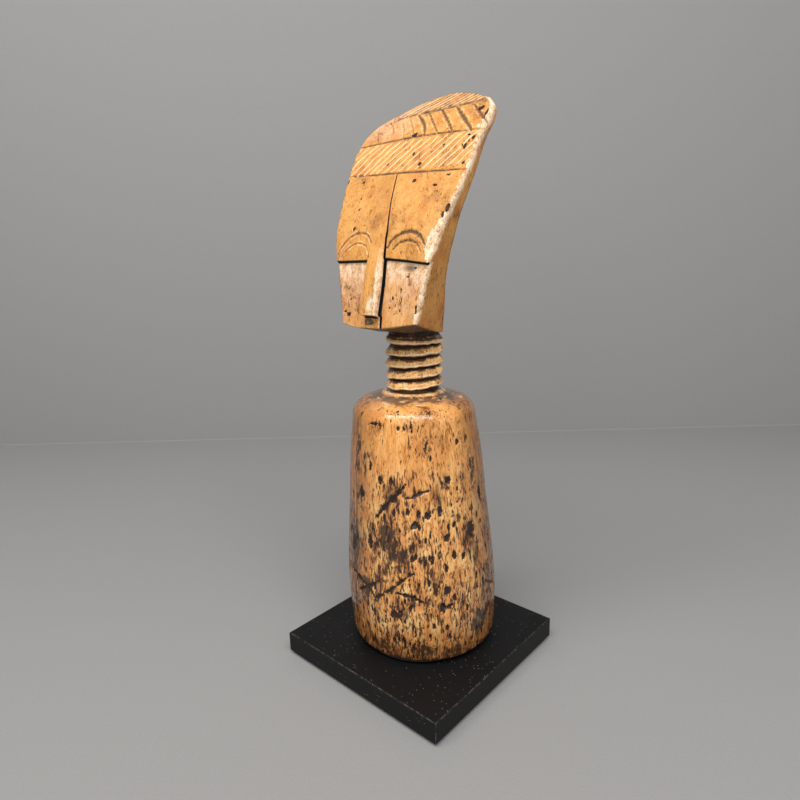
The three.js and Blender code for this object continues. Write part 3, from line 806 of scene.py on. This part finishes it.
def neckProfile():
    s = neckSizes
    slopes = [math.tan(math.radians(t)) for t in s["tilts"]]
    # radius, height, foot share, lean share, tilt, wear, stain, painted shadow in the gaps between
    # rings
    rows = [
        (0, -3, 1, 0, slopes[0], 0, 0, 1),
        (s["radius"] - 0.6, -3, 1, 0, slopes[0], 0, 0, 1),
        (s["radius"], 0.2, 1, 0, slopes[0], 0, 0.3, 1),
    ]
    for i, slope in enumerate(slopes):
        low = 0.6 + i * s["pitch"]
        top = i == s["count"] - 1
        before = (slope + slopes[max(i - 1, 0)]) / 2
        rows += [
            (s["radius"], low, 1, 0, before, 0, 0.3, 1),
            (s["radius"] + 0.9, low + 0.7, 1, 0, slope, 0, 0.3, 0.8),
            (s["ring"] - 0.2, low + 1.5, 1, 0, slope, 0.1, 0, 0),
            (s["ring"], low + 2.1, 1, 0, slope, 0.72, 0, 0),
            (s["ring"] - 0.15, low + 2.7, 1, 0, slope, 0.2, 0, 0),
            (s["ring"] - 0.5, low + 3.9, 1, 0, slope, 0, 0.25 if not top else 0.8, 0),
            (s["ring"] - 1.6, low + 5.1, 1, 0, slope, 0, 0.62, 0),
            (s["radius"] + 0.5, low + 5.9, 1, 0, slope, 0, 0.8, 0.6),
        ]
    rows.append((s["radius"], s["height"] + 3, 1, 0, 0, 0, 0.6, 1))
    rows.append((0, s["height"] + 3, 1, 0, 0, 0, 0, 1))
    return rows


def neckTree():
    tree, given = newTree("ringedNeck", neckNumbers)
    shape = windRound(
        tree, given, neckProfile(),
        ["radius", "height", "foot", "lean", "tilt", "wear", "stainAndShade", "recessShadow"])
    waves = add(tree, "TexNoise", {
        "Vector": add(tree, "InputPosition"), "W": given["Seed"],
        "Scale": add(tree, "Math DIVIDE", 1000, given["Wave Size"]), "Detail": 1.5,
    }, noise_dimensions="4D")
    push = add(tree, "VectorMath SUBTRACT", waves.outputs["Color"], (0.5, 0.5, 0.5))
    swing = add(tree, "Math MULTIPLY", given["Wave"], 2 * mm)
    push = add(tree, "VectorMath SCALE", push, {"Scale": swing})
    shape = add(tree, "SetPosition", {"Geometry": shape, "Offset": push})
    finishTree(tree, shape, finishes["neck"])
    return tree


neck = keepAsPiece("doll_neck", shaped("doll_neck", neckTree(), neckNumbers), "doll")
print("neck has", neckSizes["count"], "rings")

# Head
# Stations up the front face: sideways, back from the neck's axis, up from the neck's top, half
# width, thickness along the edge and in the middle
headStations = [
    (0, -33.6, 4.7, 24.6, 28, 50), (0, -31.6, 19.5, 27, 24, 45.5), (0, -29.2, 37.5, 30.4, 18.8, 38),
    (0, -25.2, 52.5, 33.6, 15.4, 31.5), (0, -15.8, 69, 37, 10.5, 26), (-0.3, -5, 85.5, 39.8, 7.8, 21),
    (-0.2, 8.5, 105, 40.5, 6.2, 15), (1.7, 17.5, 114.5, 39.2, 5, 12), (4.1, 22, 119.1, 36, 4.4, 10),
    (6.3, 25.7, 122.9, 29.4, 4, 8.5), (6.9, 29.2, 126.7, 20.4, 3.4, 7),
    (8, 31.8, 129.5, 10, 3, 5), (8.6, 32.6, 130.4, 4.6, 2.4, 3.6),
]
headSizes = {
    "rows": 345, "leftColumns": 104, "rightColumns": 104, "sideColumns": 9, "backColumns": 32,
    "axis": (-4.1, 1.9), "top": 188.5, "turn": 6, "arris": 1.0, "arrisDepth": 1.9,
    "noseLeft": -8.5, "noseRoot": 49.5, "noseTip": 11.3, "noseHeight": 5,
    "cheek": 1.9, "cheekFade": 0.4, "crackDepth": 11, "crackTop": 86, "ledge": 40.1,
    "chamferTop": 106, "chamferDepth": 3.2,
}
# lines in the head's own frame, here height at each spot sideways
chinLine = [(-24, 6.7), (-14, 4.8), (2.9, 4.9), (15.3, 6.9), (22.6, 8), (26.4, 9.4)]
leftLedge = [(-31, 40.1), (-8.5, 40.4)]
rightLedge = [(2.6, 41.4), (15.8, 40.2), (31, 38.4)]
# and here place sideways, or width, at each height
crackLine = [(1, 2.4), (17, 2.3), (32, 3.1), (42, 2.8), (55.4, 2.1), (70.3, -1.8), (85.3, -4.4)]
crackWidth = [
    (0, 1.5), (30, 1.7), (42, 1.8), (50, 1.3), (58, 0.65), (70, 0.4), (85, 0.3), (140, 0.2)]
chamferLine = [(0, 23.6), (8.8, 23.2), (23, 25.4), (38.5, 29.8), (45.1, 26.8), (51.2, 27.8),
               (57, 31.3), (64.5, 34.9), (73.8, 36.6), (84.4, 38.6), (103, 39.2), (140, 40)]
# brow cuts: points (sideways, up), half width, depth, how dark, how pale the burr
browCuts = [
    ([(3.9, 46.6), (6.4, 50.6), (10.1, 53), (17.3, 54.4), (23.4, 52), (27.2, 47.6)],
     1.35, 1.0, 1.0, 0.3),
    ([(7.6, 45.6), (11, 48.6), (16.4, 49.9), (21.6, 48.6), (25.2, 44.4)], 0.95, 0.8, 0.8, 0.4),
    ([(-29.8, 43.2), (-27.8, 47.6), (-24.9, 51), (-17.6, 54.7), (-10.6, 53.4), (-7.4, 49.4)],
     0.85, 0.8, 0.62, 0.7),
    ([(-27.8, 41.6), (-24.6, 45.4), (-16.5, 49.4), (-10.6, 47.6), (-8.3, 43.4)], 0.65, 0.7, 0.5, 0.9),
]
crownCuts = [
    ([(-40, 87.6), (-20.6, 86.6), (-4.6, 86.2), (18, 85.1), (39.5, 84.2)], 0.8, 0.8, 0.9, 0.25),
    ([(-40, 104.4), (-21.6, 105.4), (-8.1, 106), (11.6, 106.1), (30.5, 105.3), (40, 104.9)],
     0.85, 0.9, 0.9, 0.25),
    ([(-30, 116.6), (-18.9, 120.2), (-9.3, 120.8), (6.1, 121.2), (24.2, 122.3), (33, 123)],
     1.0, 0.8, 0.7, 0.3),
    ([(-33.5, 114), (-28, 106)], 0.6, 0.4, 0.5, 0.3),
    ([(-28.8, 119), (-24, 115.6), (-20.4, 110.8), (-19.6, 106.4)], 0.75, 0.5, 0.5, 0.75),
    ([(-18.4, 117.6), (-12.4, 110.5), (-10.3, 105.9)], 0.75, 0.5, 0.5, 0.75),
    ([(-14.3, 119.4), (-7, 111.4), (-3.2, 106.4)], 0.75, 0.5, 0.5, 0.75),
    ([(-8.9, 120.4), (0.9, 111.5), (3.8, 106.4)], 1.15, 0.9, 0.95, 0.75),
    ([(-1.8, 120.6), (7.9, 110.9), (12.8, 106)], 0.8, 0.6, 0.7, 0.75),
    ([(6.3, 121.2), (15.6, 112.4), (21.3, 106.6)], 1.0, 0.8, 0.85, 0.75),
    ([(16.1, 121), (26.1, 112.2), (34.2, 104.8)], 1.15, 1.0, 0.95, 0.75),
    ([(27.4, 120.4), (35.3, 113.4), (42, 107.2)], 1.0, 0.8, 0.8, 0.7),
    ([(20, 122), (27, 124)], 0.8, 0.5, 0.8, 0.3),
]
# soft spots on the face: mark, strength, sideways, up, half width, half height, depth
faceSpots = [
    ("stainAndShade", 1.1, -5.5, 8.0, 3.6, 1.9, 0.5),  # rough dark mouth below the nose
    ("wear", 0.3, -5.5, 8.0, 3.6, 1.9, 0),
    ("dash", 0.9, 12.5, 19, 4.5, 7.5, 0),  # open pores in the cheek beside the crack
    ("dirt", 0.62, 19, 36.4, 5.5, 2.6, 0),  # grey bruise under the right eye
]
# dark bruises and pits on the front: sideways, up, half width, half height, depth
headPits = [
    (-26.6, 83, 1.0, 0.7, 0.5), (-24.1, 73.8, 0.7, 1.0, 0.4), (-22.5, 67.8, 0.5, 0.9, 0.3),
    (8.9, 80.9, 1.1, 1.2, 0.6), (23.2, 77.4, 1.9, 0.5, 0.5), (29.7, 82.4, 1.3, 0.6, 0.5),
    (-21.5, 57, 0.9, 1.2, 0.5), (17.8, 32, 0.7, 0.5, 0.4), (22.1, 36.5, 0.7, 0.5, 0.3),
    (9, 20.6, 0.5, 1.2, 0.5), (14, 24.9, 0.5, 1.5, 0.5), (14.4, 19.8, 0.6, 1.7, 0.6),
    (14.2, 14.8, 0.4, 1.4, 0.5), (11, 17.4, 0.4, 1.0, 0.4), (7.4, 16, 0.6, 0.8, 0.4),
    (-20, 11.8, 1.6, 1.3, 0.5), (-22.6, 13.4, 0.7, 0.9, 0.4), (-19.6, 20, 0.5, 0.7, 0.3),
    (35.2, 65.4, 1.1, 2.2, 0.9), (33.6, 62, 0.8, 1.4, 0.6), (36, 88, 0.9, 1.1, 0.5),
    (33.4, 96.5, 1.0, 1.7, 0.7), (37, 101, 1.0, 1.5, 0.7), (-3, 107.5, 1.9, 1.2, 0.6),
    (31.6, 97.4, 0.6, 0.9, 0.4), (35, 99, 0.7, 0.8, 0.4), (33.6, 102.6, 1.3, 0.6, 0.4),
    (38.4, 113, 1.3, 3, 0.7), (33, 117.6, 2.0, 1.3, 0.5), (2, 96, 0.9, 1.1, 0.4),
    (-14, 92, 0.8, 0.9, 0.4), (20, 99, 0.7, 0.8, 0.4), (8, 90, 1.2, 0.7, 0.5),
    (24.2, 15.5, 0.7, 2.2, 0.6), (-38.6, 84, 0.7, 1.6, 0.7), (-37.6, 76, 0.6, 1.3, 0.6),
    (-36.4, 70, 0.6, 1.2, 0.6), (-35.2, 62, 0.6, 2.0, 0.6), (-33.4, 53, 0.6, 1.5, 0.5),
]


def smoothStep(value, low, high):
    t = np.clip((value - low) / (high - low), 0, 1)
    return t * t * (3 - 2 * t)


# Soft bump, 1 in the middle
def hump(value, width):
    return np.exp(-((value / width) ** 2))


# Reads a table of points at x
def follow(x, line):
    return np.interp(x, *np.transpose(line))


# Groove along a line with a raised burr beside it: depth, darkness and paleness at each point
def groove(points, line, half, deep, dark, burr, seed):
    path = hermite([(a, b, 0) for a, b in line], 8 * len(line))[0][:, :2]
    away, where = fromLine(points, path)
    taper = 0.45 + 0.55 * np.sin(np.clip(where, 0.03, 0.97) * math.pi) ** 0.6
    half = half * taper * (1 + 0.14 * np.sin(where * 31 + seed) * np.sin(where * 13 + 2 * seed))
    inside = np.clip(1 - away / half, 0, 1)
    lip = np.exp(-(((away - half * 1.45) / (half * 0.55)) ** 2))
    lip *= 0.75 + 0.25 * np.sin(where * 19 + seed * 3)
    rough = 0.8 + 0.2 * np.sin(where * 47 + seed * 5)
    return inside * deep - lip * burr * 0.16, np.clip(inside * 1.7, 0, 1) * dark * rough, lip * burr


# How deep the front is carved at a point (sideways, up), and the marks to store there
def carveFront(s, u, half, aside):
    h = headSizes
    flat = np.stack([s.ravel(), u.ravel()], axis=1)
    shape = s.shape
    jitterS, jitterU = (
        0.35 * wander(flat, size, seed).reshape(shape) for size, seed in ((1.8, 3), (2.2, 4)))
    flat = flat + 0.45 * np.stack([jitterS.ravel(), jitterU.ravel()], axis=1)
    deep = np.zeros(shape)
    marks = {
        name: np.zeros(shape)
        for name in ("recessShadow", "wear", "stainAndShade", "pit", "blush", "shadeAndPatina", "dash", "line", "dirt")
    }

    def mark(name, value):
        marks[name] = np.maximum(marks[name], value)

    crackX = follow(u, crackLine)
    # cheeks: stepped back under the ledge, fading to the chin
    for side, ledge in ((-1, leftLedge), (1, rightLedge)):
        line = follow(s, ledge)
        below = line - u
        inner = h["noseLeft"] if side < 0 else 2.6
        within = (s < inner) if side < 0 else (s > inner)
        step = h["cheekFade"] + (h["cheek"] - h["cheekFade"]) * np.clip(1 - below / 35, 0, 1)
        under = smoothStep(below, 0, 0.5) * within
        deep += step * under
        # painted shadow along the underside of the ledge, and darker just below it, fading downwards
        shadow = hump(below - 0.3, 0.55) * within
        mark("recessShadow", shadow * 0.95)
        smear = np.exp(-np.clip(below, 0, 99) / 3.2) * (below > 0) * within
        mark("stainAndShade", smear * (0.75 if side > 0 else 0.5))
        mark("blush", under * np.clip(1.1 - below / 42, 0.25, 1))
        mark("wear", under * np.clip(0.52 - below / 50, 0, 1))
    # nose: a wedge that stands out towards its tip
    rise = np.clip((h["noseRoot"] - u) / (h["noseRoot"] - h["noseTip"]), 0, 1) * h["noseHeight"]
    rise *= smoothStep(u, h["noseTip"] - 0.35, h["noseTip"] + 0.1)
    rightTop = np.interp(u, [11.8, 27, 45.7], [1.2, -0.1, -0.9])
    left = smoothStep(s, h["noseLeft"] - 0.2, h["noseLeft"] + 1.1)
    right = (1 - 0.68 * smoothStep(s, rightTop, crackX - 0.2)) * (s < crackX + 0.3)
    nose = left * right
    deep -= rise * nose
    # painted shadow under the nose's tip
    under = (u < h["noseTip"] + 0.2) & (u > h["noseTip"] - 1.3) & (s > -8.6) & (s < 0.6)
    mark("recessShadow", under * 0.9)
    ridge = hump(s - rightTop + jitterS, 0.7) * (u > 11)
    ridge *= np.interp(u, [11, 20, 36, 46], [0.8, 0.75, 0.5, 0])
    mark("wear", ridge)
    facet = (s > rightTop) & (s < crackX) & (u < 46)
    mark("blush", facet * 0.8)
    mark("wear", facet * np.interp(u, [5, 30, 46], [0.62, 0.5, 0.2]))
    edge = hump(s - h["noseLeft"] - 0.2, 0.6) * (u > 11) * (u < 40)
    mark("stainAndShade", edge * 0.35)
    tip = hump(s + 1.6, 2.6) * hump(u - 16, 7) * nose
    mark("wear", tip * 0.75)
    mark("dash", tip * 0.6)
    for name, strength, a, b, wide, tall, depth in faceSpots:
        spot = hump(s - a, wide) * hump(u - b, tall)
        deep += spot * depth
        mark(name, spot * strength)
    # stains down the forehead beside the crack
    beside = hump(s - crackX + 5, 7) * np.interp(u, [42, 62, 84, 86], [0, 0.5, 0.8, 0])
    marks["shadeAndPatina"] += beside * 0.45
    # chamfer along the right edge, pale where it was cut afresh
    inner = follow(u, chamferLine)
    band = np.clip(s - inner, 0, None)
    deep += np.minimum(band * 0.5, h["chamferDepth"]) * (u < h["chamferTop"])
    deep += smoothStep(band, 0.2, 1.6) * wander(flat, 5.5, 12).reshape(shape) * 0.35
    wear = smoothStep(s + 2 * jitterS, inner - 0.4, inner + 0.5)
    wear = wear * np.interp(u, [38, 46, 106, 106.5], [0.95, 0.74, 0.74, 0])
    mark("wear", wear)
    # the crown's right-hand tip: a rubbed pale lump above a notch
    knob = smoothStep(s - aside, half - 3.6, half - 2.2)
    knob = knob * np.interp(u, [107, 110, 121, 125], [0, 1, 1, 0])
    mark("wear", knob * 0.9)
    deep -= knob * 0.9
    notch = hump(u - 107.4, 1.2) * smoothStep(s - aside, half - 6, half - 3)
    deep += notch * 1.2
    mark("wear", notch * 0.8)
    marks["shadeAndPatina"] += smoothStep(-s, 0, 60) * 0.12 + smoothStep(u, 118, 123) * 0.45
    mark("blush", smoothStep(u, 104, 112) * smoothStep(-s, 0, 20) * 0.8)
    mark("stainAndShade", smoothStep(u, 118, 122) * 0.42)
    # cut lines
    for k, (line, wide, depth, dark, burr) in enumerate(browCuts + crownCuts):
        d, c, w = (v.reshape(shape) for v in groove(flat, line, wide, depth, dark, burr, k + 1.7))
        deep += d
        mark("dirt", c)
        mark("line", w)
    for a, b, wide, tall, depth in headPits:
        q = np.hypot((s + jitterS - a) / wide, (u + jitterU - b) / tall)
        hollow = np.clip(1.3 - q, 0, 1)
        deep += hollow * depth
        mark("pit", np.clip(hollow * 1.35, 0, 1))
    return deep, marks


def headMesh():
    h = headSizes
    dense, length = hermite(headStations, 1200)
    slope = np.gradient(dense[:, 1:3], length, axis=0)
    slope /= np.linalg.norm(slope, axis=1)[:, None]
    # rows by length up the face; they bend to follow the chin and the ledges over the eyes
    row = np.linspace(0, length[-1], h["rows"])[:, None]
    aside, rowY, level, half, edge, middle = (np.interp(row, length, c) for c in dense.T)
    crackX = follow(level, crackLine)
    gap = follow(level, crackWidth)
    west, east = aside - half + h["arris"], aside + half - h["arris"]
    crackX = np.clip(crackX, west + 1, east - 1)
    left = west + (crackX - gap / 2 - west) * np.linspace(0, 1, h["leftColumns"])[None, :]
    right = crackX + gap / 2 + (east - crackX - gap / 2) * np.linspace(0, 1, h["rightColumns"])[None, :]
    inside = crackX + gap * np.array([-0.497, -0.49, 0, 0.42, 0.49])[None, :]
    s = np.concatenate([left, inside, right], axis=1)
    chin = follow(s, chinLine) - headStations[0][2]
    share = smoothStep(s, -8, 2.4)
    ledge = follow(s, leftLedge) * (1 - share) + follow(s, rightLedge) * share - h["ledge"]
    here = row + ledge * hump(level - h["ledge"], 7)
    u = np.interp(here, length, dense[:, 2])
    y = np.interp(here, length, dense[:, 1])
    ny = np.interp(here, length, slope[:, 1])
    nz = -np.interp(here, length, slope[:, 0])
    fade = np.exp(-row / 7)
    deep, marks = carveFront(s, u + chin * fade * (row < 20), half, aside)
    # the drying crack: its walls drop at the middle columns, and its inside is painted black as shadow
    n = h["leftColumns"]
    reach = np.interp(level, [0, 40, 60, 85.3, 86], [1, 1, 0.5, 0.25, 0])[:, 0] * h["crackDepth"]
    # above the right-hand cheek the left wall is bare pale wood, and painted black with shadow below it
    bare = np.maximum(deep[:, n + 6] - deep[:, n - 1], 0) * 0.45
    bottom = deep[:, n + 6] + reach
    for k, (base, share) in enumerate(((0, 0.03), (0, 0.08), (1, 1), (1, 1), (0, 0.04))):
        level0 = bottom if base else deep[:, n - 1] + bare
        deep[:, n + k] = level0 + reach * share * (1 - base)
        marks["recessShadow"][:, n + k] = (level[:, 0] < h["crackTop"]) * (0.1 if k == 0 else 1.0)
        marks["stainAndShade"][:, n + k] *= k > 0
    marks["wear"][:, n] = np.interp(level[:, 0], [0, 44, 50], [0.55, 0.5, 0])
    # painted shadow along the crack's lips
    for k, darkness in ((n - 1, 0), (n, 0.1), (n + 5, 0.3)):
        edgeDark = np.interp(level[:, 0], [0, 45, 54, 86, 86.1], [darkness, darkness, 0.8, 0.7, 0])
        marks["recessShadow"][:, k] = np.maximum(marks["recessShadow"][:, k] * (k > n), edgeDark)
    front = np.stack([s, y + deep * ny, u + chin * fade + deep * nz], axis=2)

    # sides and back, wound on from the right-hand arris
    rowNy = np.interp(row, length, slope[:, 1])
    rowNz = -np.interp(row, length, slope[:, 0])
    least = np.minimum(h["arrisDepth"], edge * 0.4)
    rightDeep = np.clip(deep[:, -1:] + 1.2, least, edge * 0.7)
    leftDeep = np.clip(deep[:, :1] + 0.6, least, edge * 0.8)
    t = np.linspace(0, 1, h["sideColumns"])[None, :]
    ones = np.ones_like(t)
    rightSide = (half * ones, rightDeep + (edge - rightDeep) * t)
    sweep = np.cos(np.linspace(0, math.pi, h["backColumns"])[1:-1])[None, :]
    backSide = (half * sweep, edge + (middle - edge) * (1 - sweep ** 2))
    leftSide = (-half * ones, edge + (leftDeep - edge) * t)
    across = np.concatenate([rightSide[0], backSide[0], leftSide[0]], axis=1) + aside
    depth = np.concatenate([rightSide[1], backSide[1], leftSide[1]], axis=1)
    rest = np.stack([across, rowY + depth * rowNy, level + depth * rowNz], axis=2)
    # the underside climbs to the chin in front and meets the neck behind
    chinRest = follow(across, chinLine)
    ahead = np.clip((-10 - rest[:, :, 1]) / 23.6, 0, 1)
    want = 1.3 + (chinRest - 1.3) * ahead
    rest[:, :, 2] += (want[0] - rest[0, :, 2])[None, :] * np.exp(-row / 9)
    loops = np.concatenate([front, rest], axis=1)
    rows, columns = loops.shape[:2]

    marksRest = {name: np.zeros((rows, across.shape[1])) for name in marks}
    sideways = h["sideColumns"]
    # sides and back painted a little darker: painted shade and patina
    marksRest["shadeAndPatina"][:] = 0.3
    paleUp = np.interp(level, [0, 20, 40, 60, 140], [0.8, 0.95, 1, 1, 1])
    fromEdge = depth[:, :sideways] - rightDeep
    wideBand = np.interp(level, [0, 30, 45, 60, 100, 140], [0.6, 1, 1.6, 2.2, 2.4, 3])
    marksRest["wear"][:, :sideways] = np.exp(-(fromEdge / wideBand) ** 2) * paleUp * 0.72
    marksRest["dash"][:] = 0.15

    # caps: rings that close in on the middle, below and on top
    capRings = 12
    under = []
    centre = np.array([0, -2, 1.0])
    for k in range(1, capRings):
        t = k / capRings
        ring = centre + (loops[0] - centre) * (1 - t)
        drop = min(1, t / 0.5)
        ring[:, 2] = loops[0][:, 2] * (1 - drop) + centre[2] * drop
        under.append(ring)
    crest = loops[-1].mean(axis=0)
    over = [crest + (loops[-1] - crest) * (1 - k / 4) for k in range(1, 4)]
    stack = under[::-1] + list(loops) + over
    points = np.concatenate([[centre], *stack, [crest]])
    index = 1 + np.arange(len(stack) * columns).reshape(len(stack), columns)
    low, high = index[:-1], index[1:]
    lowNext, highNext = np.roll(low, -1, axis=1), np.roll(high, -1, axis=1)
    faces = np.stack([low, lowNext, highNext, high], axis=2).reshape(-1, 4).tolist()
    faces += [(0, int(b), int(a)) for a, b in zip(index[0], np.roll(index[0], -1))]
    last = len(points) - 1
    faces += [(last, int(a), int(b)) for a, b in zip(index[-1], np.roll(index[-1], -1))]

    turn = math.radians(h["turn"])
    x, y, z = points[:, 0], points[:, 1], points[:, 2]
    placed = np.stack([
        x * math.cos(turn) - y * math.sin(turn) + h["axis"][0],
        x * math.sin(turn) + y * math.cos(turn) + h["axis"][1],
        z + footZ + h["top"],
    ], axis=1) * mm
    mesh = bpy.data.meshes.new("headBlank")
    mesh.from_pydata(placed.tolist(), [], faces)
    lower, upper = len(under) * columns + 1, len(over) * columns + 1
    for name in marks:
        both = np.concatenate([marks[name], marksRest[name]], axis=1).ravel()
        # the caps under the head are painted darker: painted shade under the head
        base = {"shadeAndPatina": 1, "stainAndShade": 0.66}.get(name, 0)
        writeFloats(mesh, name, np.concatenate([np.full(lower, base), both, np.zeros(upper)]))
    side = np.concatenate([s, across], axis=1).ravel()
    upward = np.concatenate([u, np.broadcast_to(level, across.shape)], axis=1).ravel()
    face = np.concatenate([np.ones_like(s), np.zeros_like(across)], axis=1).ravel()
    for name, values in (("side", side), ("rise", upward), ("face", face)):
        writeFloats(mesh, name, np.concatenate([np.zeros(lower), values, np.zeros(upper)]))
    return mesh


# Hatching cut across the crown: even slanted grooves between two heights
hatchBands = [
    {"Low": 86.6, "High": 105.0, "Pitch": 5.1, "Lean": 1.05, "Half Width": 0.66,
     "Depth": 0.6, "Pale": 0.85, "Dark": 0.0, "Unevenness": 0.5, "Rise": 0.0, "Seed": 3.0},
    {"Low": 121.5, "High": 131.0, "Pitch": 5.0, "Lean": 2.6, "Half Width": 0.55,
     "Depth": 0.35, "Pale": 0.7, "Dark": 0.1, "Unevenness": 0.0, "Rise": 0.035, "Seed": 8.0},
]


def hatchTree():
    tree, given = newTree("hatchCuts", hatchBands[0], takesMesh=True)
    shape = given["Geometry"]
    side, rise, face, oldLine, oldDirt = (add(tree, "InputNamedAttribute", {"Name": name},
        data_type="FLOAT").outputs[0] for name in ("side", "rise", "face", "line", "dirt"))
    place = add(tree, "InputPosition")
    wander, patch, tool = (
        add(tree, "TexNoise", {
            "Vector": place, "W": given["Seed"], "Scale": scale, "Detail": detail,
        }, noise_dimensions="4D")
        for scale, detail in ((90.0, 1.0), (260.0, 2.0), (75.0, 2.0)))
    bottom = add(tree, "Math MULTIPLY_ADD", side, given["Rise"], given["Low"])
    top = add(tree, "Math MULTIPLY_ADD", side, given["Rise"], given["High"])
    up = add(tree, "Math SUBTRACT", rise, bottom)
    shift = add(tree, "Math MULTIPLY", up, given["Lean"])
    line = add(tree, "Math SUBTRACT", side, shift)
    line = add(tree, "Math MULTIPLY_ADD", wander, 4.5, line)
    phase = add(tree, "Math DIVIDE", line, given["Pitch"])
    number = add(tree, "Math FLOOR", phase)
    within = add(tree, "Math FRACT", phase)
    fromMiddle = add(tree, "Math SUBTRACT", within, 0.5)
    fromMiddle = add(tree, "Math ABSOLUTE", fromMiddle)
    # grooves differ: some are faint and some are wide
    chance = add(tree, "TexWhiteNoise", {"Vector": add(tree, "CombineXYZ", number, given["Seed"])},
        noise_dimensions="3D")
    away = add(tree, "Math MULTIPLY", fromMiddle, given["Pitch"])
    steep = add(tree, "Math MULTIPLY_ADD", given["Lean"], given["Lean"], 1.0)
    steep = add(tree, "Math SQRT", steep)
    away = add(tree, "Math DIVIDE", away, steep)
    wide = add(tree, "MapRange", {"Value": chance.outputs["Value"], "To Min": 0.7, "To Max": 1.25})
    wide = add(tree, "Math MULTIPLY", wide, given["Half Width"])
    near = add(tree, "Math DIVIDE", away, wide)
    cutIn = add(tree, "MapRange", {"Value": near, "From Min": 1.0, "From Max": 0.0})
    ends = add(tree, "MapRange", {"Value": up, "From Min": 0.0, "From Max": 1.2},
        interpolation_type="SMOOTHSTEP")
    roof = add(tree, "Math SUBTRACT", top, rise)
    roof = add(tree, "MapRange", {"Value": roof, "From Min": 0.0, "From Max": 1.2},
        interpolation_type="SMOOTHSTEP")
    inBand = add(tree, "Math MULTIPLY", ends, roof)
    inBand = add(tree, "Math MULTIPLY", inBand, face)
    cutIn = add(tree, "Math MULTIPLY", cutIn, inBand)
    flick = add(tree, "MapRange", {"Value": patch, "From Min": 0.35, "From Max": 0.6,
        "To Min": 0.7, "To Max": 1.0})
    pale = add(tree, "Math MULTIPLY", cutIn, given["Pale"])
    pale = add(tree, "Math MULTIPLY", pale, 1.7, use_clamp=True)
    pale = add(tree, "Math MULTIPLY", pale, flick)
    newLine = add(tree, "Math MAXIMUM", oldLine, pale)
    dark = add(tree, "MapRange", {"Value": cutIn, "From Min": 0.35, "From Max": 0.8,
        "To Max": given["Dark"]})
    dark = add(tree, "Math MULTIPLY", dark, flick)
    newDirt = add(tree, "Math MAXIMUM", oldDirt, dark)
    # broad tool marks, mostly on the sides and back
    tool = add(tree, "Math SUBTRACT", tool, 0.5)
    calm = add(tree, "MapRange", {"Value": face, "To Min": 2.4, "To Max": 0.5})
    tool = add(tree, "Math MULTIPLY", tool, calm)
    tool = add(tree, "Math MULTIPLY", tool, given["Unevenness"])
    sink = add(tree, "Math MULTIPLY", cutIn, given["Depth"])
    push = add(tree, "Math SUBTRACT", tool, sink)
    push = add(tree, "Math MULTIPLY", push, mm)
    offset = add(tree, "VectorMath SCALE", add(tree, "InputNormal"), {"Scale": push})
    for name, value in (("line", newLine), ("dirt", newDirt)):
        shape = add(tree, "StoreNamedAttribute", {"Geometry": shape, "Name": name, "Value": value},
            data_type="FLOAT", domain="POINT").outputs[0]
    shape = add(tree, "SetPosition", {"Geometry": shape, "Offset": offset})
    finishTree(tree, shape, finishes["head"])
    return tree


head = headMesh()
hatch = hatchTree()
for band in hatchBands:
    head = shaped("doll_head", hatch, band, head)
head = keepAsPiece("doll_head", head, "doll")
print("head carved, hatching in", len(hatchBands), "bands")

for piece in (body, neck, head):
    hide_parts("doll")

bpy.context.view_layer.update()
